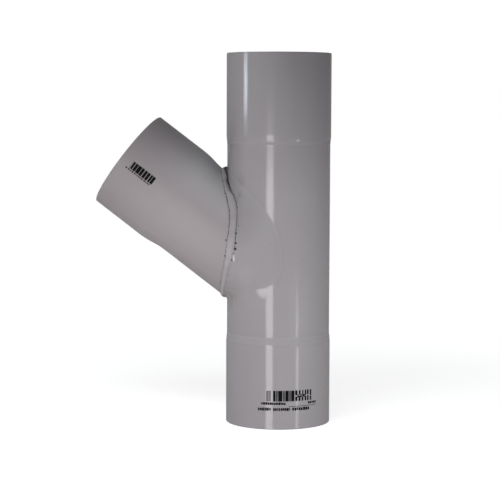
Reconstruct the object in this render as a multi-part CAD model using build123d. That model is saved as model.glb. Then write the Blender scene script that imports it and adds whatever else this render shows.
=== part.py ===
from build123d import *
import os
from math import cos, sin, radians

os.makedirs("parts", exist_ok=True)

# ---------------------------------------------------------------- driving dimensions, mm
pipe_od = 110.0          # outside diameter of the pipe the sockets take, and of the branch
run_wall = 2.2           # wall of the run
branch_wall = 3.2        # wall of the branch, a stiffer pipe
run_swell = 1.3          # how much the run grew in radius where it was heated and drawn
pipe_fit = 0.2           # radial clearance of a spigot pushed into a socket
swage_thinning = 0.3     # wall lost where a socket is stretched over the pipe size
run_length = 404.0       # lower rim to upper rim
branch_angle = 53.0      # between the branch axis and the upper half of the run axis
branch_height = 162.0    # lower rim to the point where the two axes cross
branch_length = 209.0    # that crossing to the branch rim
socket_depth = 88.0      # straight part of both run sockets
branch_socket_depth = 59.0   # straight part of the branch socket
swage_length = 12.0      # soft shoulder between a run socket and the pipe behind it
branch_swage = 36.0      # the same on the branch, stretched slowly
rim_edge = 0.5           # broken edge on the outside of each rim

# the joint line goes round the branch, measured along its axis from the crossing
crotch_lap = 2.6         # how far short of the plain pipes' crotch it runs
heel_stand = 1.6         # how far past the plain pipes' heel it lies
joint_side = 52.0        # how far out it lies on both sides
joint_hook = 2.8         # how much steeper it climbs near the crotch than a plain wave
bead_width = 9.2         # mean width of the weld along the branch
bead_spread = 2.6        # how much wider it is in the crotch, and narrower at the heel
bead_height = 1.8        # how proud the weld stands of the pipe
fill_size = 3.0          # how thick the weld lies in the crotch
fill_turn = 35.0         # how far round from the crotch that fuller part reaches, degrees

# the collar is drawn out of an oval on the run's skin
draw_centre = 204.5      # height of the oval's middle
draw_half = 76.5         # half its height
draw_turn = 96.0         # how far round the run it reaches from the branch side, degrees
draw_sink = 0.3          # its rim starts this far under the skin, so the skins cross cleanly
draw_past = 7.0          # how far past the joint line the drawing ends in the crotch
draw_pull = 0.36         # how long the skin keeps each pipe's direction, part of its width

# ---------------------------------------------------------------- derived
pipe_r = pipe_od / 2
run_r = pipe_r + run_swell
run_bore_r = run_r - run_wall
collar_bore_r = pipe_r - run_wall
branch_bore_r = pipe_r - branch_wall
socket_bore_r = pipe_r + pipe_fit
run_socket_r = socket_bore_r + run_wall - swage_thinning
branch_socket_r = socket_bore_r + branch_wall - swage_thinning
beta = radians(branch_angle)
branch_frame = Plane(origin=(0, 0, branch_height), x_dir=(cos(beta), 0, sin(beta)),
                     z_dir=(-sin(beta), 0, cos(beta)))
crotch_end = (run_r + pipe_r * cos(beta)) / sin(beta) - crotch_lap
heel_end = (run_r - pipe_r * cos(beta)) / sin(beta) + heel_stand
joint_mean = ((crotch_end + heel_end) / 2 + joint_side) / 2
joint_dip = ((crotch_end + heel_end) / 2 - joint_side) / 2
joint_swing = (crotch_end - heel_end) / 2 - joint_hook
collar_reach = crotch_end + 2 * draw_past    # drawn this long before it is cut at the joint


# ---------------------------------------------------------------- pipes with swaged ends
def shoulder(r_from, z_from, r_to, z_to):
    """Soft S-shaped step between two radii, upright at both ends."""
    middle = (z_from + z_to) / 2
    return Bezier((r_from, z_from), (r_from, middle), (r_to, middle), (r_to, z_to))


def outline(points, shoulders):
    """Closed half outline through the points; the listed legs are shoulders, not lines."""
    legs = []
    for i, (p, q) in enumerate(zip(points, points[1:] + points[:1])):
        legs.append(shoulder(*p, *q) if i in shoulders else Line(p, q))
    return revolve(Plane.XZ * make_face(legs), Axis.Z)


def filled_run(r_pipe, r_socket, edge=0.0):
    """The run as a solid of revolution with a socket shape at both ends."""
    low, high = socket_depth, run_length - socket_depth
    ends = ([(0, 0), (r_socket - edge, 0), (r_socket, edge)],
            [(r_socket, run_length - edge), (r_socket - edge, run_length), (0, run_length)])
    if not edge:
        ends = ([(0, 0), (r_socket, 0)], [(r_socket, run_length), (0, run_length)])
    middle = [(r_socket, low), (r_pipe, low + swage_length),
              (r_pipe, high - swage_length), (r_socket, high)]
    first = len(ends[0])
    return outline(ends[0] + middle + ends[1], (first, first + 2))


def filled_branch(r_pipe, r_socket, edge=0.0):
    """The branch in its own frame, plain from the crossing outward, socket at the far end."""
    high = branch_length - branch_socket_depth
    end = [(r_socket, branch_length), (0, branch_length)]
    if edge:
        end = [(r_socket, branch_length - edge), (r_socket - edge, branch_length),
               (0, branch_length)]
    return outline([(0, 0), (r_pipe, 0), (r_pipe, high - branch_swage), (r_socket, high)] + end,
                   (2,))


# ---------------------------------------------------------------- the joint curve
def joint_height(c):
    """Run-side edge of the weld, a plain wave with two overtones; c = 1 in the crotch."""
    if abs(c) > 1:
        side = 1.0 if c > 0 else -1.0
        slope = joint_swing + 4 * joint_dip * side + 9 * joint_hook
        return joint_height(side) + slope * (c - side)
    return joint_mean + joint_swing * c + joint_dip * (2 * c * c - 1) \
        + joint_hook * (4 * c ** 3 - 3 * c)


def beyond_joint(shift, spread, r):
    """Everything inside radius r of the branch axis that lies past the shifted joint line."""
    reach = pipe_r + 10
    curve = []
    for i in range(25):
        x = reach * (2 * i / 24 - 1)
        curve.append((x, joint_height(x / pipe_r) + shift + spread * x / pipe_r))
    top = branch_length + 20
    legs = [Spline(curve), Line(curve[-1], (reach, top)), Line((reach, top), (-reach, top)),
            Line((-reach, top), curve[0])]
    slab = extrude(Plane.XZ * make_face(legs), amount=reach, both=True)
    return slab & Pos(0, 0, branch_length / 2) * Cylinder(r, 2 * branch_length)


# ---------------------------------------------------------------- the drawn collar
def in_branch_frame(x, y, z):
    """A vector of the run's frame, seen in the branch frame."""
    return Vector(x * cos(beta) + z * sin(beta), y, z * cos(beta) - x * sin(beta))


def draw_edge(a, r):
    """Where the drawing starts on the run, an oval wrapped on its skin: place and normal."""
    turn = radians(draw_turn) * sin(a)
    out = Vector(-cos(turn), sin(turn), 0)
    height = draw_centre + draw_half * cos(a) - branch_height
    place = out * (r - draw_sink)
    return in_branch_frame(place.X, place.Y, height), in_branch_frame(out.X, out.Y, 0)


def rail(a, r_run, r, reach, n):
    """Curve from the run's skin out along the branch, leaving both pipes tangentially."""
    start = joint_height(cos(a)) + draw_past * (1 + cos(a)) / 2
    on_branch = lambda t: Vector(r * cos(a), r * sin(a), t)
    foot, out = draw_edge(a, r_run)
    head = on_branch(start)
    chord = head - foot
    flat = chord - out * chord.dot(out)
    pull = chord.length * draw_pull
    lower, upper = foot + flat.normalized() * pull, head - Vector(0, 0, pull)
    points = []
    for i in range(n):
        u = i / (n - 1)
        v = 1 - u
        points.append(foot * v ** 3 + lower * (3 * u * v * v) + upper * (3 * u * u * v) + head * u ** 3)
    return points + [on_branch(start + (reach - start) * k / 4) for k in range(1, 5)]


def collar_plug(r_run, r, reach):
    """Filled collar in the branch frame: a drawn skin from inside the run out along it."""
    n = 40
    rails = [rail(radians(180 * i / n), r_run, r, reach, 12) for i in range(n + 1)]
    for side in (0, n):
        rails[side] = [Vector(v.X, 0, v.Z) for v in rails[side]]
    front = Face.make_surface_from_array_of_points(rails, tol=0.01, min_deg=3, max_deg=3)
    back = front.mirror(Plane.XZ)
    arches = sorted((e for e in front.edges() if abs(e.position_at(0.5).Y) > 5),
                    key=lambda e: e.position_at(0.5).Z)
    foot, top = arches[0], arches[-1]
    base = Face.make_surface_from_curves(foot, foot.mirror(Plane.XZ))
    cap = Face(Wire([top, top.mirror(Plane.XZ)]))
    return branch_frame.location * Solid(Shell([front, back, base, cap]))


# ---------------------------------------------------------------- the three pieces
def outside_run(body):
    """The part of a body that lies outside the plain run pipe."""
    return body - Cylinder(run_r, 4 * run_length)


def make_run():
    outside = filled_run(run_r, run_socket_r, rim_edge)
    outside += collar_plug(run_r, pipe_r, collar_reach)
    inside = filled_run(run_bore_r, socket_bore_r)
    inside += collar_plug(run_bore_r, collar_bore_r, collar_reach + 10)
    past = outside_run(branch_frame.location * beyond_joint(0, 0, pipe_r + 8))
    return outside - inside - past


def make_branch():
    body = filled_branch(pipe_r, branch_socket_r, rim_edge)
    body -= filled_branch(branch_bore_r, socket_bore_r)
    body &= beyond_joint(bead_width, bead_spread, branch_socket_r + 5)
    return branch_frame.location * body


def crotch_fill():
    """Weld metal lying in the valley of the crotch between two plain pipes."""
    both = Cylinder(run_r + fill_size, 2 * run_length)
    both &= branch_frame.location * Cylinder(pipe_r + fill_size, 2 * run_length)
    lip = pipe_r * cos(radians(fill_turn))
    return both & Pos(-lip - run_length / 2, 0, run_length) * Box(run_length, run_length,
                                                                  2 * (run_length - branch_height))


def make_weld(run):
    """Bead between collar and branch, with a fuller fillet in the crotch."""
    skin = pipe_r + bead_height
    bead = beyond_joint(0, 0, skin) - beyond_joint(bead_width, bead_spread, skin + 1)
    bead = branch_frame.location * (bead - Cylinder(collar_bore_r, 4 * branch_length))
    fill = crotch_fill() - branch_frame.location * beyond_joint(bead_width, bead_spread, skin + 9)
    fill = outside_run(fill - branch_frame.location * Cylinder(pipe_r, 4 * branch_length)) - run
    return outside_run(bead) + fill.solids().sort_by(SortBy.VOLUME)[-1]


run = make_run()
branch = make_branch()
weld = make_weld(run)
export_step(run, "parts/run.step")
export_step(branch, "parts/branch.step")
export_step(weld, "parts/weld.step")
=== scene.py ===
import math
import random

import bpy
from mathutils import Matrix, Vector, noise
from mathutils.bvhtree import BVHTree


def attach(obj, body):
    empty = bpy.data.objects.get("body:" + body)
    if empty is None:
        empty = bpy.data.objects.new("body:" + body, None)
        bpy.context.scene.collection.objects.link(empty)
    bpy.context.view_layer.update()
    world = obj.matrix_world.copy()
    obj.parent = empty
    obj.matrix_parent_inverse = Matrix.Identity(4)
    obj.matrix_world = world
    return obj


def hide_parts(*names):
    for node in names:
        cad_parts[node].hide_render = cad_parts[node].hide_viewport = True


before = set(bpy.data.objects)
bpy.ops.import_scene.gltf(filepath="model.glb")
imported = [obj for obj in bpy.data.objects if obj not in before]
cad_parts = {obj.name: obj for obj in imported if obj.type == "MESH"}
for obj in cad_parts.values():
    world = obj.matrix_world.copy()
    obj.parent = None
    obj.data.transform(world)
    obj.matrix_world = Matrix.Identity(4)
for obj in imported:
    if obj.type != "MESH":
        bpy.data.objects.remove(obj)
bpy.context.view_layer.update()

# ---------------------------------------------------------------- sizes, metres
MM = 0.001
PIPE_R = 0.0550             # the branch pipe
RUN_R = 0.0563              # the run between its sockets
SOCKET_R = 0.0571           # the run's sockets
MOUTH_R = 0.0581            # the branch's socket
CROSS_H = 0.162             # height where the two axes cross
BETA = math.radians(53.0)   # lean of the branch from the run
SIN_B, COS_B = math.sin(BETA), math.cos(BETA)
# the joint line along the branch: its mean, then its swings once, twice and three times round
JOINT = (61.0 * MM, 36.5 * MM, 9.0 * MM, 2.8 * MM)
BEAD_W, BEAD_SPREAD = 9.2 * MM, 2.6 * MM

# the branch's frame: along its axis to the mouth, and across it towards the crotch
ALONG = Vector((-SIN_B, 0, COS_B))
ACROSS = Vector((COS_B, 0, SIN_B))
SIDE = Vector((0, 1, 0))
CROSS = Vector((0, 0, CROSS_H))

NOISE_GAIN = 1.6            # brings the smooth noise to about -1 to 1


def on_branch(a, t, r=PIPE_R):
    """Point on the branch: a round it from the crotch, t along it, r from its axis."""
    return CROSS + ALONG * t + ACROSS * (r * math.cos(a)) + SIDE * (r * math.sin(a))


def branch_out(a):
    """Outward direction of the branch's skin at an angle round it."""
    return ACROSS * math.cos(a) + SIDE * math.sin(a)


def joint_at(a):
    """Where the joint line lies along the branch."""
    mean, swing, dip, hook = JOINT
    return mean + swing * math.cos(a) + dip * math.cos(2 * a) + hook * math.cos(3 * a)


def wobble(a, scale, seed):
    """Smooth closed noise round the joint, about -1 to 1."""
    p = Vector((scale * math.cos(a), scale * math.sin(a), seed))
    return noise.noise(p) * NOISE_GAIN


def skin_point(azimuth, z):
    """Point on the run's skin; azimuth 0 is the front, in degrees, positive to the right."""
    g = math.radians(azimuth)
    return (RUN_R * math.sin(g), -RUN_R * math.cos(g), z)


# ---------------------------------------------------------------- steps of a shader
def object_place(nt):
    """The surface point in the object's frame."""
    return nt.nodes.new("ShaderNodeTexCoord").outputs["Object"]


def place_xyz(nt):
    """The surface point's x, y and z."""
    split = nt.nodes.new("ShaderNodeSeparateXYZ")
    nt.links.new(object_place(nt), split.inputs[0])
    return split.outputs["X"], split.outputs["Y"], split.outputs["Z"]


def value_node(nt, operation, *inputs, clamp=False):
    """One step of arithmetic; each input is a number or another node's output."""
    node = nt.nodes.new("ShaderNodeMath")
    node.operation, node.use_clamp = operation, clamp
    for socket, value in zip(node.inputs, inputs):
        if isinstance(value, (int, float)):
            socket.default_value = value
        else:
            nt.links.new(value, socket)
    return node.outputs[0]


def vector_node(nt, operation, vector, fixed=(0, 0, 0)):
    """A number measured from a vector, against a fixed one where the operation takes two."""
    node = nt.nodes.new("ShaderNodeVectorMath")
    node.operation = operation
    nt.links.new(vector, node.inputs[0])
    node.inputs[1].default_value = fixed
    return node.outputs["Value"]


def ramp(nt, source, zero_at, one_at, kind="LINEAR"):
    """From 0 to 1 between two values of the source, and level beyond them."""
    node = nt.nodes.new("ShaderNodeMapRange")
    node.interpolation_type = kind
    node.inputs["From Min"].default_value = zero_at
    node.inputs["From Max"].default_value = one_at
    nt.links.new(source, node.inputs["Value"])
    return node.outputs["Result"]


def clouds(nt, scale, detail):
    """Smooth noise over the surface, 0 to 1."""
    tex = nt.nodes.new("ShaderNodeTexNoise")
    tex.inputs["Scale"].default_value = scale
    tex.inputs["Detail"].default_value = detail
    nt.links.new(object_place(nt), tex.inputs["Vector"])
    return tex.outputs["Fac"]


def mixed(nt, color, tint, share):
    """A colour turned towards a tint by a share."""
    mix = nt.nodes.new("ShaderNodeMix")
    mix.data_type = "RGBA"
    nt.links.new(share, mix.inputs["Factor"])
    nt.links.new(color, mix.inputs["A"])
    mix.inputs["B"].default_value = (*tint, 1)
    return mix.outputs["Result"]


def bumped(nt, height, strength, distance, normal=None):
    """The surface normal after a bump, on top of another one where it is given."""
    bump = nt.nodes.new("ShaderNodeBump")
    bump.inputs["Strength"].default_value = strength
    bump.inputs["Distance"].default_value = distance
    nt.links.new(height, bump.inputs["Height"])
    if normal is not None:
        nt.links.new(normal, bump.inputs["Normal"])
    return bump.outputs["Normal"]


# ---------------------------------------------------------------- places on the plastic
# the oval of drawn skin: middle height, half height, half width as a turn from the branch
# side, and how much lower it lies at that turn
DRAWN_Z, DRAWN_HALF = 0.2045, 0.0765
DRAWN_TURN, DRAWN_LEAN = math.radians(100), 15.5 * MM
DRAWN_EDGE = (1.0, 0.988)               # outside and inside of its crisp rim, in its own size
UPPER_POWER = 2.0                       # an ellipse above
LOW_SQUEEZE, LOW_POWER = 1.60, 3.4      # flatter and squarer below
SWELL_AT, SWELL_RADIUS = (-36, 0.1515), 0.029   # azimuth and height, beside the heel
# heights of the rings on the two shoulders, and how softly they end
SWAGE_BANDS, SWAGE_EDGE = ((0.0915, 0.0995), (0.3055, 0.3090)), 0.7 * MM
# where the painted shade and painted light start and end: x and z on the run, then across the
# branch in radii and along it
FAR_TOP_X, FAR_TOP_Z = (-0.020, 0.022), (0.25, 0.40)
CROTCH_LIGHT_SPAN, MOUTH_FADE = (0.15, 0.78), (0.115, 0.205)


def power_sum(nt, u, v, power):
    """Two coordinates, each raised to a power, added up."""
    return value_node(nt, "ADD", value_node(nt, "POWER", u, power),
                      value_node(nt, "POWER", v, power))


def drawn_skin(nt):
    """1 inside the oval where the collar was heated and drawn, its lower half the squarer."""
    x, y, z = place_xyz(nt)
    turn = value_node(nt, "ARCTAN2", y, value_node(nt, "MULTIPLY", x, -1.0))
    u = value_node(nt, "DIVIDE", value_node(nt, "ABSOLUTE", turn), DRAWN_TURN)
    v = value_node(nt, "MULTIPLY_ADD", u, DRAWN_LEAN / DRAWN_HALF, -DRAWN_Z / DRAWN_HALF)
    v = value_node(nt, "MULTIPLY_ADD", z, 1 / DRAWN_HALF, v)
    upper = power_sum(nt, u, value_node(nt, "MAXIMUM", v, 0.0), UPPER_POWER)
    low_v = value_node(nt, "MAXIMUM", value_node(nt, "MULTIPLY", v, -LOW_SQUEEZE), 0.0)
    lower = power_sum(nt, u, low_v, LOW_POWER)
    below = value_node(nt, "LESS_THAN", v, 0.0)
    part = value_node(nt, "MULTIPLY", below, value_node(nt, "SUBTRACT", lower, upper))
    return ramp(nt, value_node(nt, "ADD", upper, part), *DRAWN_EDGE)


def low_swelling(nt):
    """Height of a very soft round swelling of the skin beside the heel, 0 to 1."""
    away = vector_node(nt, "DISTANCE", object_place(nt), skin_point(*SWELL_AT))
    return ramp(nt, away, SWELL_RADIUS, 0.0, "SMOOTHSTEP")


def swage_rings(nt):
    """1 in the scuffed middle of the two shoulders."""
    z = place_xyz(nt)[2]
    total = None
    for low, high in SWAGE_BANDS:
        band = value_node(nt, "MULTIPLY", ramp(nt, z, low - SWAGE_EDGE, low + SWAGE_EDGE),
                          ramp(nt, z, high + SWAGE_EDGE, high - SWAGE_EDGE))
        total = band if total is None else value_node(nt, "MAXIMUM", total, band)
    return total


def top_painted_shade(nt):
    """Rises to 1 at the top of the run, on the side away from the branch, where shade is painted.
    """
    x, _, z = place_xyz(nt)
    return value_node(nt, "MULTIPLY", ramp(nt, x, *FAR_TOP_X), ramp(nt, z, *FAR_TOP_Z))


def from_cross(nt, axis):
    """Distance of the surface point from the crossing of the axes, along a direction."""
    along = vector_node(nt, "DOT_PRODUCT", object_place(nt), axis)
    return value_node(nt, "SUBTRACT", along, CROSS.dot(axis))


def crotch_painted_light(nt):
    """Rises to 1 on the side of the branch towards the crotch, where light is painted, and fades to
    its mouth.
    """
    toward = value_node(nt, "DIVIDE", from_cross(nt, ACROSS), PIPE_R)
    return value_node(nt, "MULTIPLY", ramp(nt, toward, *CROTCH_LIGHT_SPAN, "SMOOTHSTEP"),
                      ramp(nt, from_cross(nt, ALONG), *reversed(MOUTH_FADE), "SMOOTHSTEP"))


def mouth_painted_shade(nt):
    """Rises to 1 towards the mouth of the branch, where shade is painted."""
    return ramp(nt, from_cross(nt, ALONG), *MOUTH_FADE, "SMOOTHSTEP")


# ---------------------------------------------------------------- materials
CLOUD_RANGE, CLOUD_DETAIL = (0.3, 0.7), 3.0
BLOTCH_SCALE, BLOTCH_DETAIL, BLOTCH_RANGE = 160, 2.0, (0.3, 0.62)
WAVE_SCALE, WAVE_DETAIL, WAVE_STRENGTH, WAVE_DEPTH = 28, 1.0, 0.08, 0.002
SWELL_RISE = 3.9 * MM
# azimuth, height, radius, colour, strength: one at the heel, two beside the crotch
STAINS = ((-64, 0.143, 0.020, (0.27, 0.235, 0.215), 1.2),
          (-40, 0.268, 0.009, (0.27, 0.26, 0.27), 1.3),
          (-43, 0.250, 0.007, (0.26, 0.25, 0.26), 1.3))
# each a plain colour, then the darkest and lightest of its clouds
GREY = ((0.330, 0.310, 0.319), (0.324, 0.304, 0.313), (0.338, 0.318, 0.327))
WARM_GREY = ((0.338, 0.306, 0.315), (0.333, 0.300, 0.309), (0.347, 0.313, 0.323))
WELD_GREY = ((0.35, 0.33, 0.345), (0.33, 0.308, 0.32), (0.375, 0.355, 0.37))
DIRT = ((0.05, 0.043, 0.038), (0.03, 0.025, 0.022), (0.09, 0.077, 0.066))
# lighter, cooler grey of the painted light on the branch's crotch side
PAINTED_LIGHT_GREY = (0.440, 0.430, 0.440)
# pale grey of the drip: a painted highlight
DRIP_HIGHLIGHT_GREY = (0.60, 0.55, 0.55)
INK = (0.004, 0.004, 0.0045)
PIPE_CLOUDS, WELD_CLOUDS, DIRT_CLOUDS = 14, 60, 220
POLISHED, DULL = 0.13, 0.42
WELD_ROUGH, DRIP_ROUGH, DIRT_ROUGH, INK_ROUGH, INK_SPECULAR = 0.3, 0.12, 0.85, 0.6, 0.12
# shares of painted shade off the base colour: inside the drawn oval, at the run's top away from the
# branch, towards the branch's mouth
DRAWN_SHADE_SHARE, TOP_SHADE_SHARE, MOUTH_SHADE_SHARE = 0.045, 0.27, 0.13


def principled(name, color, roughness, **sockets):
    """A plain material; any further sockets are given by name."""
    m = bpy.data.materials.new(name)
    m.use_nodes = True
    b = m.node_tree.nodes["Principled BSDF"]
    b.inputs["Base Color"].default_value = (*color, 1)
    b.inputs["Roughness"].default_value = roughness
    for key, value in sockets.items():
        b.inputs[key.replace("_", " ")].default_value = value
    return m, b


def clouded(name, colors, scale, roughness):
    """A material with very slight clouds in its colour."""
    plain, low, high = colors
    m, b = principled(name, plain, roughness)
    nt = m.node_tree
    blend = nt.nodes.new("ShaderNodeValToRGB")
    for element, position, color in zip(blend.color_ramp.elements, CLOUD_RANGE, (low, high)):
        element.position = position
        element.color = (*color, 1)
    nt.links.new(clouds(nt, scale, CLOUD_DETAIL), blend.inputs["Fac"])
    nt.links.new(blend.outputs["Color"], b.inputs["Base Color"])
    return m, b


def base_color(b):
    """What feeds the base colour so far."""
    return b.inputs["Base Color"].links[0].from_socket


def stained(nt, b, stains):
    """Soft broken smudges over the base colour."""
    place = object_place(nt)
    broken = ramp(nt, clouds(nt, BLOTCH_SCALE, BLOTCH_DETAIL), *BLOTCH_RANGE)
    color = base_color(b)
    for azimuth, z, radius, tint, strength in stains:
        away = vector_node(nt, "DISTANCE", place, skin_point(azimuth, z))
        share = value_node(nt, "MULTIPLY", ramp(nt, away, radius, 0.0), broken)
        share = value_node(nt, "MULTIPLY", share, strength, clamp=True)
        color = mixed(nt, color, tint, share)
    nt.links.new(color, b.inputs["Base Color"])


def wavy(nt, b, normal=None):
    """Slight unevenness of a swaged, hand finished skin."""
    waves = clouds(nt, WAVE_SCALE, WAVE_DETAIL)
    nt.links.new(bumped(nt, waves, WAVE_STRENGTH, WAVE_DEPTH, normal), b.inputs["Normal"])


def duller_where(nt, b, mask):
    """Roughness from polished to dull, following a mask."""
    blend = nt.nodes.new("ShaderNodeMapRange")
    blend.inputs["To Min"].default_value = POLISHED
    blend.inputs["To Max"].default_value = DULL
    nt.links.new(mask, blend.inputs["Value"])
    nt.links.new(blend.outputs["Result"], b.inputs["Roughness"])


def darker_where(nt, b, mask, share):
    """Takes a share off the base colour inside a mask."""
    scale = nt.nodes.new("ShaderNodeVectorMath")
    scale.operation = "SCALE"
    nt.links.new(base_color(b), scale.inputs[0])
    nt.links.new(value_node(nt, "MULTIPLY_ADD", mask, -share, 1.0), scale.inputs["Scale"])
    nt.links.new(scale.outputs[0], b.inputs["Base Color"])


def run_plastic():
    """Glossy grey, dull where the collar was drawn; painted shade makes it a little darker there,
    and darker at the top away from the branch.
    """
    m, b = clouded("grey_run_plastic", GREY, PIPE_CLOUDS, POLISHED)
    nt = m.node_tree
    wavy(nt, b, bumped(nt, low_swelling(nt), 1.0, SWELL_RISE))
    stained(nt, b, STAINS)
    drawn = drawn_skin(nt)
    duller_where(nt, b, value_node(nt, "MAXIMUM", drawn, swage_rings(nt)))
    # painted shade: a little darker inside the drawn oval, besides its dull roughness
    darker_where(nt, b, drawn, DRAWN_SHADE_SHARE)
    # painted shade: darker at the run's top, on the side away from the branch
    darker_where(nt, b, top_painted_shade(nt), TOP_SHADE_SHARE)
    return m


def branch_plastic():
    """Dull warm grey, with painted light making it cooler and lighter on the crotch side, and
    painted shade making it darker towards the mouth.
    """
    m, b = clouded("grey_branch_plastic", WARM_GREY, PIPE_CLOUDS, DULL)
    nt = m.node_tree
    wavy(nt, b)
    # painted light: the crotch side turned lighter and cooler
    nt.links.new(mixed(nt, base_color(b), PAINTED_LIGHT_GREY, crotch_painted_light(nt)), b.inputs["Base Color"])
    # painted shade: darker towards the branch's mouth
    darker_where(nt, b, mouth_painted_shade(nt), MOUTH_SHADE_SHARE)
    return m


for name, material in (("run", run_plastic()), ("branch", branch_plastic())):
    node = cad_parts[name]
    node.data.materials.clear()
    node.data.materials.append(material)
weld_mat, _ = clouded("grey_weld_plastic", WELD_GREY, WELD_CLOUDS, WELD_ROUGH)
dirt_mat, _ = clouded("caught_dirt", DIRT, DIRT_CLOUDS, DIRT_ROUGH)
# the drip's pale colour is a painted highlight
drip_highlight_mat, _ = principled("drip_painted_highlight", DRIP_HIGHLIGHT_GREY, DRIP_ROUGH)
ink_mat, _ = principled("black_ink", INK, INK_ROUGH, Specular_IOR_Level=INK_SPECULAR)


# ---------------------------------------------------------------- mesh helpers
def make_mesh(name, verts, faces, material):
    """A smooth shaded piece of the object, with its material slot."""
    me = bpy.data.meshes.new(name)
    me.from_pydata([tuple(v) for v in verts], [], faces)
    me.update()
    ob = bpy.data.objects.new(name, me)
    bpy.context.scene.collection.objects.link(ob)
    me.materials.append(material)
    for p in me.polygons:
        p.use_smooth = True
    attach(ob, "root")
    return ob


def ring_mesh(name, rows, material):
    """Closed tube from rows of equal length, each row a closed cross-section."""
    verts = [p for row in rows for p in row]
    n, m = len(rows), len(rows[0])
    faces = []
    for i in range(n):
        for j in range(m):
            a, b = i * m + j, i * m + (j + 1) % m
            c, d = ((i + 1) % n) * m + (j + 1) % m, ((i + 1) % n) * m + j
            faces.append((a, b, c, d))
    return make_mesh(name, verts, faces, material)


def ease(x, low, high):
    """0 below low, 1 above high, smooth between."""
    u = min(1.0, max(0.0, (x - low) / (high - low)))
    return u * u * (3 - 2 * u)


def from_table(table, x):
    """Value at x of a table of (x, y), smooth from each row to the next."""
    for (x0, y0), (x1, y1) in zip(table, table[1:]):
        if x <= x1:
            return y0 + (y1 - y0) * ease(x, x0, x1)
    return table[-1][1]


def folded(a):
    """An angle round the branch brought to between -pi and pi; 0 is the crotch."""
    return (a + math.pi) % (2 * math.pi) - math.pi


def turn_from_crotch(a):
    """Degrees from the crotch, the same on the front and the back."""
    return abs(math.degrees(folded(a)))


# ---------------------------------------------------------------- weld bead
# degrees from the crotch, then millimetres past the joint line where the bead's feet lie
NEAR_OFF = ((0, 8.0), (24, 4.0), (29, 2.1), (34, 0.5), (41, -0.9), (48, -2.1), (53, -2.2),
            (59, -1.3), (67, -0.1), (75, 0.7), (90, 0.4), (97, 1.1), (115, 1.2), (132, 0.3),
            (180, 0.2))
FAR_OFF = ((0, -1.0), (19, -1.1), (30, -0.5), (39, 0.0), (45, -0.6), (50, -1.4), (57, -2.3),
           (62, -2.1), (68, -1.2), (75, 0.0), (82, 0.6), (88, 1.2), (96, 0.9), (103, 0.1),
           (114, -0.5), (135, -1.1), (180, -1.2))
FOOT_UNEVEN = 0.2                       # millimetres
NEAR_NOISE, FAR_NOISE, HEIGHT_NOISE = (14, 3.1), (12, 7.7), (7, 1.3)
# how far round the crotch the bead climbs the run, how high, and how sharply it peaks
CROTCH_TURN, CROTCH_LIFT, CROTCH_POWER = math.radians(40), 5.0 * MM, 1.2
# turns over which the bead goes from one way of lying to another
VALLEY_TURNS, COLLAR_TURNS, CROTCH_TURNS = (30, 60), (36, 44), (19, 26)
COVER_TURNS = (60, 66)
COLLAR_IN = 0.3 * MM                    # the collar is met at least this far from its end
RAY_REACH = 8 * MM
BEAD_SECTIONS, BEAD_ACROSS = 720, 14
BEAD_HIGH, BEAD_HIGH_UNEVEN = 1.75, 0.25
BULGE_SIDES, BULGE_TOP = 2.6, 0.75
RIPPLE, RIPPLE_ROUND, RIPPLE_ACROSS = 0.10 * MM, 24, 3
FOOT_COVER, FOOT_SINK, BEAD_SINK = 0.6, 0.12 * MM, 1.2 * MM

run_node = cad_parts["run"]
bpy.context.view_layer.update()
run_skin = BVHTree.FromPolygons([run_node.matrix_world @ v.co for v in run_node.data.vertices],
                                [tuple(p.vertices) for p in run_node.data.polygons])


def run_line(a):
    """Where the branch's own skin would cross the run's, along the branch."""
    reach = math.sqrt(RUN_R ** 2 - (PIPE_R * math.sin(a)) ** 2)
    return (PIPE_R * math.cos(a) * COS_B + math.copysign(reach, math.cos(a))) / SIN_B


def valley_out(a):
    """Outward direction of the bead's run-side foot: between both pipes in the crotch."""
    p = on_branch(a, joint_at(a))
    run_out = Vector((p.x, p.y, 0)).normalized()
    share = 0.5 * (1 - ease(turn_from_crotch(a), *VALLEY_TURNS))
    return (branch_out(a).lerp(run_out, share)).normalized()


def on_skin(p, out, fallback):
    """The run's skin met from outside near a point, or the fallback where there is none."""
    hit = run_skin.ray_cast(p + out * RAY_REACH, -out, 2 * RAY_REACH)[0]
    return hit if hit else fallback


def near_edge(a):
    """Run-side foot of the bead: on the collar, and on the run itself in the crotch."""
    turn = turn_from_crotch(a)
    off = (from_table(NEAR_OFF, turn) + FOOT_UNEVEN * wobble(a, *NEAR_NOISE)) * MM
    here = on_branch(a, joint_at(a) + off)
    collar = on_branch(a, joint_at(a) + min(off, -COLLAR_IN))
    collar = on_skin(collar, branch_out(a), collar)
    p = here + branch_out(a) * max(0.0, (collar - CROSS).dot(branch_out(a)) - PIPE_R)
    share = 1 - ease(turn, *COLLAR_TURNS)
    if share > 0:
        p = p.lerp(on_skin(here, valley_out(a), here), share)
    if turn < CROTCH_TURNS[1]:
        fold = folded(a)
        k = math.cos(math.pi / 2 * fold / CROTCH_TURN) ** CROTCH_POWER
        q = on_branch(fold, run_line(fold) + CROTCH_LIFT * k / COS_B)
        q = Vector((-math.sqrt(RUN_R ** 2 - q.y ** 2), q.y, q.z))
        p = p.lerp(q, 1 - ease(turn, *CROTCH_TURNS))
    return p


def far_edge(a):
    """Branch-side foot of the bead."""
    off = (from_table(FAR_OFF, turn_from_crotch(a)) + FOOT_UNEVEN * wobble(a, *FAR_NOISE)) * MM
    return on_branch(a, joint_at(a) + BEAD_W + BEAD_SPREAD * math.cos(a) + off)


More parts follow.
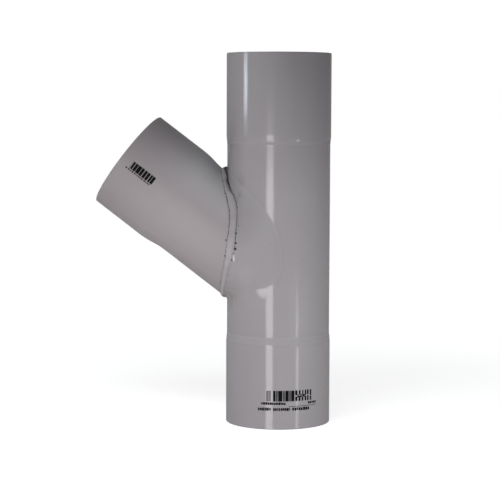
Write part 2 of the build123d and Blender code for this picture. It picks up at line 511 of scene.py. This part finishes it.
def bead_rows():
    """Cross-sections of the bead; thin feet cover the rest of the joint on both sides."""
    rows = []
    for i in range(BEAD_SECTIONS):
        a = 2 * math.pi * i / BEAD_SECTIONS
        e1, e2, out, lift = near_edge(a), far_edge(a), branch_out(a), valley_out(a)
        turn = turn_from_crotch(a)
        height = (BEAD_HIGH + BEAD_HIGH_UNEVEN * wobble(a, *HEIGHT_NOISE)) * MM
        foot1 = max(0.0, from_table(NEAR_OFF, turn)) * ease(turn, *COVER_TURNS)
        foot2 = max(0.0, -from_table(FAR_OFF, turn))
        row = [e1 - ALONG * ((foot1 + FOOT_COVER) * MM) - out * FOOT_SINK]
        for j in range(BEAD_ACROSS + 1):
            v = j / BEAD_ACROSS
            bulge = (1 - abs(2 * v - 1) ** BULGE_SIDES) ** BULGE_TOP
            spot = Vector((math.cos(a) * RIPPLE_ROUND, math.sin(a) * RIPPLE_ROUND,
                           v * RIPPLE_ACROSS))
            ripple = RIPPLE * noise.noise(spot)
            row.append(e1.lerp(e2, v) + lift.lerp(out, v) * (height * bulge + ripple * bulge))
        row.append(e2 + ALONG * ((foot2 + FOOT_COVER) * MM) - out * FOOT_SINK)
        row.append(e2 - out * BEAD_SINK)
        row.append(e1 - out * BEAD_SINK)
        rows.append(row)
    return rows


bead = ring_mesh("weld_bead", bead_rows(), weld_mat)
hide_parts("weld")

# ---------------------------------------------------------------- dirt in the edges
DIRT_SECTIONS, TANGENT_STEP = 1400, 0.002
DIRT_W, DIRT_W_MORE = 0.16, 0.42
DIRT_H, DIRT_H_GROWTH, DIRT_SUNK = 0.62, 1.4, 0.25
DIRT_ROOT = -0.6 * MM
# level; its steps with the turn (change, from, to); its noises (share, scale, seed)
RUN_SIDE_DIRT = (3.4, ((-2.9, 14, 34), (-0.42, 72, 100), (0.3, 150, 168)),
                 ((0.18, 12, 2.2), (0.18, 60, 5.2)))
BRANCH_SIDE_DIRT = (0.30, ((0.22, 24, 44), (-0.4, 84, 112)),
                    ((0.16, 14, 8.8), (0.24, 70, 1.4)))
FILL_TURNS, FILL_ACROSS, FILL_OUT = (14, 30), 1.8, 1.7


def dirt_amount(recipe, a):
    """How much dirt lies at an angle round the joint."""
    amount, steps, noises = recipe
    turn = turn_from_crotch(a)
    for change, low, high in steps:
        amount += change * ease(turn, low, high)
    for share, scale, seed in noises:
        amount += share * wobble(a, scale, seed)
    return max(0.0, amount)


def dirt_line(name, edge, outward, recipe):
    """Dark line of caught dirt along one edge of the bead; it sinks away where it is thin."""
    rows = []
    for i in range(DIRT_SECTIONS):
        a = 2 * math.pi * i / DIRT_SECTIONS
        amount = dirt_amount(recipe, a)
        p, out = edge(a), outward(a)
        t = (edge(a + TANGENT_STEP) - edge(a - TANGENT_STEP)).normalized()
        side = t.cross(out).normalized()
        w = (DIRT_W + DIRT_W_MORE * amount) * MM
        h = (DIRT_H * min(1.0, amount * DIRT_H_GROWTH) - DIRT_SUNK) * MM
        section = ((1, 0), (0.5, h), (-0.5, h), (-1, 0), (-0.6, DIRT_ROOT), (0.6, DIRT_ROOT))
        rows.append([p + side * (w * reach) + out * lift for reach, lift in section])
    ring_mesh(name, rows, dirt_mat)


def near_dirt_path(a):
    """The bead's run-side foot, drawn up onto the bead where dirt fills the crotch's valley."""
    share = 1 - ease(turn_from_crotch(a), *FILL_TURNS)
    across = (far_edge(a) - near_edge(a)).normalized()
    return near_edge(a) + (across * FILL_ACROSS + valley_out(a) * FILL_OUT) * (share * MM)


dirt_line("dirt_run_side", near_dirt_path, valley_out, RUN_SIDE_DIRT)
dirt_line("dirt_branch_side", far_edge, branch_out, BRANCH_SIDE_DIRT)

# edge, degrees from the crotch on the front, millimetres off the edge, size in millimetres
EDGE_SPECKS = ((near_edge, 34, 0.6, 0.75), (near_edge, 50, 0.3, 0.8),
               (near_edge, 66, 2.4, 0.7), (near_edge, 74, 0.2, 1.3),
               (near_edge, 83, 0.0, 1.7), (near_edge, 88.5, 0.3, 2.0),
               (near_edge, 94, 0.2, 0.8), (near_edge, 101, -0.3, 1.3),
               (far_edge, 30, -0.6, 0.7), (far_edge, 43.5, 0.8, 0.8),
               (far_edge, 87, 1.4, 0.95), (far_edge, 102, 0.6, 0.9),
               (far_edge, 109, 0.3, 0.5), (far_edge, 136, 0.4, 0.85))
# azimuth on the run, height and size in millimetres
LONE_SPECKS = ((-2, 201, 0.45), (34, 182, 0.45), (16, 166, 0.35), (-30, 232, 0.3))
SPECK_SEED, SMALL_SPECKS = 31, 70
SPECK_CORNERS = 9
SPECK_RINGS, SPECK_TOP = ((1.0, -0.3), (0.75, 0.28)), 0.42
SPECK_UNEVEN = (0.75, 1.15)
SPECK_OVERLAP = 0.45
SMALL_OFF, SMALL_SIZE = (-0.2, 1.2), (0.22, 0.5)


def speck(verts, faces, centre, out, size, rng):
    """One flat irregular grain of dirt, lying on the skin."""
    side = out.cross(Vector((0.3, 0.2, 1))).normalized()
    other = out.cross(side)
    start, n = len(verts), SPECK_CORNERS
    for reach, lift in SPECK_RINGS:
        for i in range(n):
            g = 2 * math.pi * i / n
            r = size * reach * rng.uniform(*SPECK_UNEVEN)
            verts.append(centre + side * (r * math.cos(g)) + other * (r * math.sin(g))
                         + out * (size * lift))
    verts.append(centre + out * (size * SPECK_TOP))
    for i in range(n):
        j = (i + 1) % n
        faces.append((start + i, start + j, start + n + j, start + n + i))
        faces.append((start + n + i, start + n + j, start + 2 * n))


def specks():
    """Grains of dirt beside the bead: the largest ones low on the front, small ones all round."""
    verts, faces = [], []
    rng = random.Random(SPECK_SEED)
    for edge, turn, off, size in EDGE_SPECKS:
        a = -math.radians(turn)
        sign = -1 if edge is near_edge else 1
        centre = edge(a) + ALONG * (sign * (off + SPECK_OVERLAP * size) * MM)
        centre = on_skin(centre, branch_out(a), centre)
        speck(verts, faces, centre, branch_out(a), size * MM, rng)
    for azimuth, z, size in LONE_SPECKS:
        g = math.radians(azimuth)
        out = Vector((math.sin(g), -math.cos(g), 0))
        centre = on_skin(out * RUN_R + Vector((0, 0, z * MM)), out, out * RUN_R)
        speck(verts, faces, centre, out, size * MM, rng)
    for _ in range(SMALL_SPECKS):
        a = rng.uniform(-math.pi, math.pi)
        edge, sign = rng.choice(((near_edge, -1), (far_edge, 1)))
        centre = edge(a) + ALONG * (sign * rng.uniform(*SMALL_OFF) * MM)
        speck(verts, faces, centre, branch_out(a), rng.uniform(*SMALL_SIZE) * MM, rng)
    make_mesh("dirt_specks", verts, faces, dirt_mat)


specks()

# ---------------------------------------------------------------- drip beside the bead
DRIP_X, DRIP_Z = -0.0422, 0.1845
DRIP_WIDE, DRIP_TALL, DRIP_HIGH = 2.2 * MM, 5.6 * MM, 1.1 * MM
DRIP_RINGS, DRIP_AROUND = 6, 24
DRIP_SWELL, DRIP_MEAN = 0.7, 0.3


def small_drip():
    """A small smooth drip of plastic standing beside the bead, on the front; its pale colour is a
    painted highlight.
    """
    base, out, _, _ = run_skin.ray_cast(Vector((DRIP_X, -0.1, DRIP_Z)), Vector((0, 1, 0)))
    out = out if out.y < 0 else -out
    up = (Vector((0, 0, 1)) - out * out.z).normalized()
    side = up.cross(out)
    verts = [base + out * DRIP_HIGH]
    for i in range(1, DRIP_RINGS + 1):
        u = i / DRIP_RINGS
        lift = DRIP_HIGH * (math.cos(math.pi * u) * DRIP_SWELL + DRIP_MEAN)
        for j in range(DRIP_AROUND):
            h = 2 * math.pi * j / DRIP_AROUND
            flat = side * (DRIP_WIDE * u * math.cos(h)) + up * (DRIP_TALL * u * math.sin(h))
            verts.append(base + flat + out * lift)
    faces = [(0, 1 + j, 1 + (j + 1) % DRIP_AROUND) for j in range(DRIP_AROUND)]
    for i in range(DRIP_RINGS - 1):
        for j in range(DRIP_AROUND):
            k, n = 1 + i * DRIP_AROUND, (j + 1) % DRIP_AROUND
            faces.append((k + j, k + DRIP_AROUND + j, k + DRIP_AROUND + n, k + n))
    make_mesh("weld_drip", verts, faces, drip_highlight_mat)


small_drip()

# ---------------------------------------------------------------- inked prints
INK_LIFT = 0.00004
RUN_PATCH_STEP, BRANCH_PATCH_STEP = 1.0 * MM, 0.8 * MM
# the run's code, in metres round the socket from the front and in height
RUN_PRINT_X, RUN_PRINT_Z = (-0.0060, 0.0452), (0.0308, 0.0424)
PRINT_W, PRINT_H = RUN_PRINT_X[1] - RUN_PRINT_X[0], RUN_PRINT_Z[1] - RUN_PRINT_Z[0]
# its whole bars: start and width as shares of the code's width
RUN_BARS = ((0.0, 0.022), (0.035, 0.012), (0.062, 0.022), (0.14, 0.05), (0.205, 0.028),
            (0.245, 0.09), (0.352, 0.03), (0.395, 0.075), (0.482, 0.028), (0.522, 0.07))
# its broken bars: where they start and end, their widths, where they break and how far
BROKEN_SEED, BROKEN_SPAN = 12, (0.612, 0.97)
BROKEN_W, BROKEN_GAP, BREAK_AT, BREAK_GAP = (0.036, 0.062), (0.022, 0.034), (0.3, 0.5), (0.04, 0.14)
BREAK_SHIFT = (-0.3, 0.6)
BRIDGE_SHARE, BRIDGE_W, BRIDGE_Z = 0.6, 0.03, (0.35, 0.6)
# seed, from and to round the socket, from and to in height, shortest, longest, gap (mm)
UPPER_DASHES = ((5, -0.0122, 0.0146, 0.0270, 0.0298, 1.2, 2.4, 0.28),
                (6, 0.0408, 0.0520, 0.0268, 0.0297, 1.2, 2.4, 0.5))
LOWER_DASHES = ((8, -0.0156, -0.0015, 0.0205, 0.0240, 1.2, 2.6, 0.4),
                (9, 0.0012, 0.0195, 0.0205, 0.0240, 1.2, 2.6, 0.4),
                (10, 0.0220, 0.0423, 0.0205, 0.0240, 1.2, 2.6, 0.4))
THIN_RULE = (0.0180, 0.0520, 0.0250, 0.0255)
DASH_TRIM, DASH_GAPS = 0.25, (0.7, 1.5)
# the branch's code: along the branch, and round it from the crotch
BRANCH_PRINT_T = (0.1650, 0.1950)
BRANCH_PRINT_A = (math.radians(80.0), math.radians(88.6))
BRANCH_BAR_SEED, BRANCH_BARS, BRANCH_GAPS = 23, (2.4, 3.2, 4.2), (0.45, 0.6, 0.8)
BRANCH_DASH_SEED, BRANCH_DASH_A = 4, (math.radians(89.3), math.radians(90.8))
BRANCH_DASH_IN, BRANCH_DASH_PAST = 1.5 * MM, 2 * MM
BRANCH_DASHES, BRANCH_DASH_GAPS = (1.0, 2.2), (0.5, 1.4)


def bar_pattern(rng, width):
    """Bars of a generic code: start and width along the print, from a fixed draw."""
    x, bars = 0.0, []
    while x < width:
        w = rng.choice(BRANCH_BARS) * MM
        bars.append((x, min(w, width - x)))
        x += w + rng.choice(BRANCH_GAPS) * MM
    return bars


def patch_on_run(x0, x1, z0, z1, verts, faces):
    """A thin inked patch wrapped on the lower socket; x is measured round the surface."""
    r = SOCKET_R + INK_LIFT
    steps = max(1, int((x1 - x0) / RUN_PATCH_STEP))
    start = len(verts)
    for i in range(steps + 1):
        g = (x0 + (x1 - x0) * i / steps) / r
        for z in (z0, z1):
            verts.append(Vector((r * math.sin(g), -r * math.cos(g), z)))
    for i in range(steps):
        k = start + 2 * i
        faces.append((k, k + 2, k + 3, k + 1))


def patch_on_branch(t0, t1, a0, a1, verts, faces):
    """A thin inked patch wrapped on the front of the branch's socket."""
    r = MOUTH_R + INK_LIFT
    steps = max(1, int(abs(a1 - a0) * r / BRANCH_PATCH_STEP))
    start = len(verts)
    for i in range(steps + 1):
        a = a0 + (a1 - a0) * i / steps
        for t in (t0, t1):
            verts.append(on_branch(-a, t, r))
    for i in range(steps):
        k = start + 2 * i
        faces.append((k, k + 1, k + 3, k + 2))


def dashes(seed, x0, x1, z0, z1, low, high, gap, verts, faces):
    """A row of plain short dashes in place of small print, of slightly uneven height."""
    rng = random.Random(seed)
    x = x0
    while x < x1:
        w = rng.uniform(low * MM, high * MM)
        trim = rng.uniform(0, DASH_TRIM) * (z1 - z0)
        patch_on_run(x, min(x + w, x1), z0 + trim * rng.random(), z1 - trim * rng.random(),
                     verts, faces)
        x += w + gap * MM * rng.uniform(*DASH_GAPS)


def broken_bars(verts, faces):
    """Bars with a break in them, some joined to the next by a short bridge."""
    rng = random.Random(BROKEN_SEED)
    bottom, top = RUN_PRINT_Z
    x, end = BROKEN_SPAN
    while x < end:
        w, low_part = rng.uniform(*BROKEN_W), rng.uniform(*BREAK_AT)
        start, gap = RUN_PRINT_X[0] + x * PRINT_W, rng.uniform(*BREAK_GAP)
        patch_on_run(start, start + w * PRINT_W, bottom, bottom + low_part * PRINT_H,
                     verts, faces)
        patch_on_run(start + rng.uniform(*BREAK_SHIFT) * MM, start + w * PRINT_W,
                     bottom + (low_part + gap) * PRINT_H, top, verts, faces)
        if rng.random() < BRIDGE_SHARE:
            patch_on_run(start + w * PRINT_W, start + (w + BRIDGE_W) * PRINT_W,
                         bottom + BRIDGE_Z[0] * PRINT_H, bottom + BRIDGE_Z[1] * PRINT_H,
                         verts, faces)
        x += w + rng.uniform(*BROKEN_GAP)


def print_on_run():
    """The generic code low on the run, with dashes and a thin rule below it."""
    verts, faces = [], []
    for x, w in RUN_BARS:
        start = RUN_PRINT_X[0] + x * PRINT_W
        patch_on_run(start, start + w * PRINT_W, *RUN_PRINT_Z, verts, faces)
    broken_bars(verts, faces)
    for row in UPPER_DASHES:
        dashes(*row, verts, faces)
    patch_on_run(*THIN_RULE, verts, faces)
    for row in LOWER_DASHES:
        dashes(*row, verts, faces)
    make_mesh("print_on_run", verts, faces, ink_mat)


def print_on_branch():
    """The generic code near the branch's mouth, with a row of dashes beside it."""
    verts, faces = [], []
    low, high = BRANCH_PRINT_T
    for t, w in bar_pattern(random.Random(BRANCH_BAR_SEED), high - low):
        patch_on_branch(low + t, low + t + w, *BRANCH_PRINT_A, verts, faces)
    rng = random.Random(BRANCH_DASH_SEED)
    t = low + BRANCH_DASH_IN
    while t < high + BRANCH_DASH_PAST:
        w = rng.uniform(*BRANCH_DASHES) * MM
        patch_on_branch(t, t + w, *BRANCH_DASH_A, verts, faces)
        t += w + rng.uniform(*BRANCH_DASH_GAPS) * MM
    make_mesh("print_on_branch", verts, faces, ink_mat)


print_on_run()
print_on_branch()

# ---------------------------------------------------------------- floor and surroundings
FLOOR_SIZE, FLOOR_Z, FLOOR_ROUGH = 14, -0.0002, 0.9
FLOOR_COLOR = (0.85, 0.85, 0.85)
# the floor's lift towards white near the object and far from it, and where it changes
LIFT_NEAR, LIFT_FAR, LIFT_REACH = 0.76, 0.91, (0.25, 1.1)
AMBIENT, SURROUND_SHEEN = 0.11, 0.2
WHITE = (1, 1, 1, 1)


def background_rays(nt, glossy_share):
    """1 for rays that see the bare background, a share of it in the plastic's sheen."""
    path = nt.nodes.new("ShaderNodeLightPath").outputs
    sheen = value_node(nt, "MULTIPLY", path["Is Glossy Ray"], glossy_share)
    seen = value_node(nt, "MAXIMUM", path["Is Camera Ray"], path["Is Transmission Ray"])
    return value_node(nt, "MAXIMUM", seen, sheen)


def white_floor():
    """Pale floor, lifted to white where it is seen, with the object's shadow left in it."""
    bpy.ops.mesh.primitive_plane_add(size=FLOOR_SIZE, location=(0, 0, FLOOR_Z))
    ob = bpy.context.object
    ob.name = "floor"
    m, b = principled("floor", FLOOR_COLOR, FLOOR_ROUGH, Specular_IOR_Level=0.0)
    nt = m.node_tree
    reach = vector_node(nt, "LENGTH", object_place(nt))
    far = ramp(nt, reach, *LIFT_REACH, "SMOOTHSTEP")
    lift = value_node(nt, "MULTIPLY_ADD", far, LIFT_FAR - LIFT_NEAR, LIFT_NEAR)
    glow = value_node(nt, "MULTIPLY", background_rays(nt, 0.0), lift)
    b.inputs["Emission Color"].default_value = WHITE
    nt.links.new(glow, b.inputs["Emission Strength"])
    ob.data.materials.append(m)
    ob.visible_glossy = False


def studio_world():
    """Faint even light, and white where the surroundings themselves are seen."""
    world = bpy.data.worlds.new("studio")
    bpy.context.scene.world = world
    world.use_nodes = True
    nt = world.node_tree
    ambient, white = nt.nodes["Background"], nt.nodes.new("ShaderNodeBackground")
    for node, strength in ((ambient, AMBIENT), (white, 1.0)):
        node.inputs["Color"].default_value = WHITE
        node.inputs["Strength"].default_value = strength
    mix = nt.nodes.new("ShaderNodeMixShader")
    nt.links.new(background_rays(nt, SURROUND_SHEEN), mix.inputs["Fac"])
    nt.links.new(ambient.outputs["Background"], mix.inputs[1])
    nt.links.new(white.outputs["Background"], mix.inputs[2])
    nt.links.new(mix.outputs["Shader"], nt.nodes["World Output"].inputs["Surface"])


white_floor()
studio_world()

# ---------------------------------------------------------------- lights
# name, azimuth, lowest and highest z, distance, width, radiance, colour, seen in the sheen
LAMPS = (
    ("key_strip", -12.5, (-0.6, 0.255), 2.0, 0.52, 5.8, (1.0, 0.955, 0.96), True),
    ("side_window", -71, (0.335, 0.46), 2.0, 0.32, 12.0, (0.80, 0.88, 1.0), True),
    ("right_strip", 49, (-0.9, -0.14), 2.4, 0.22, 4.2, (1.0, 0.99, 0.98), True),
    ("soft_left", -30, (0.0, 0.22), 0.55, 0.5, 3.4, (1.0, 0.985, 0.99), False),
    ("soft_right", 52, (0.0, 0.11), 0.48, 0.4, 7.6, (0.96, 0.98, 1.0), False),
    ("soft_top", -12, (1.3, 1.9), 1.2, 0.9, 6.2, (0.90, 0.95, 1.0), False),
    ("soft_side", -85, (0.0, 0.20), 0.80, 0.4, 3.0, (0.95, 0.97, 1.0), False),
)


def lamp(name, azimuth, z_range, distance, width, radiance, color, sheen):
    """Upright soft panel facing the object; azimuth 0 is in front, positive to the right."""
    low_z, high_z = z_range
    light = bpy.data.lights.new(name, "AREA")
    light.shape = "RECTANGLE"
    light.size, light.size_y = width, high_z - low_z
    light.energy = radiance * math.pi * width * (high_z - low_z)
    light.color = color
    ob = bpy.data.objects.new(name, light)
    bpy.context.scene.collection.objects.link(ob)
    a = math.radians(azimuth)
    out = Vector((math.sin(a), -math.cos(a), 0))
    ob.location = out * distance + Vector((0, 0, (low_z + high_z) / 2))
    ob.rotation_mode = "QUATERNION"
    ob.rotation_quaternion = (-out).to_track_quat("-Z", "Y")
    ob.visible_camera = False
    ob.visible_glossy = sheen


for settings in LAMPS:
    lamp(*settings)

# ---------------------------------------------------------------- camera
LENS, SENSOR = 119.13, 36
CLIP = (0.05, 50)
# azimuth from the front, distance from the run's axis and height; then the turns away from
# facing that axis level
CAM_AZ, CAM_DIST, CAM_Z = 0.10508, 1.81169, 0.3488
CAM_PAN, CAM_TILT, CAM_ROLL = 0.01718, -0.08801, 0.00312


def add_camera():
    """The camera, aimed by its pan, tilt and roll."""
    camera = bpy.data.cameras.new("camera")
    camera.lens = LENS
    camera.sensor_width = SENSOR
    camera.clip_start, camera.clip_end = CLIP
    cam = bpy.data.objects.new("camera", camera)
    bpy.context.scene.collection.objects.link(cam)
    cam.location = (math.sin(CAM_AZ) * CAM_DIST, -math.cos(CAM_AZ) * CAM_DIST, CAM_Z)
    turn = CAM_AZ + CAM_PAN
    look = Vector((-math.sin(turn) * math.cos(CAM_TILT), math.cos(turn) * math.cos(CAM_TILT),
                   math.sin(CAM_TILT)))
    right = Vector((math.cos(turn), math.sin(turn), 0))
    up = right.cross(look)
    right, up = (right * math.cos(CAM_ROLL) + up * math.sin(CAM_ROLL),
                 up * math.cos(CAM_ROLL) - right * math.sin(CAM_ROLL))
    cam.rotation_mode = "QUATERNION"
    cam.rotation_quaternion = Matrix((right, up, -look)).transposed().to_quaternion()
    bpy.context.scene.camera = cam


add_camera()
bpy.context.scene.view_settings.view_transform = "Standard"
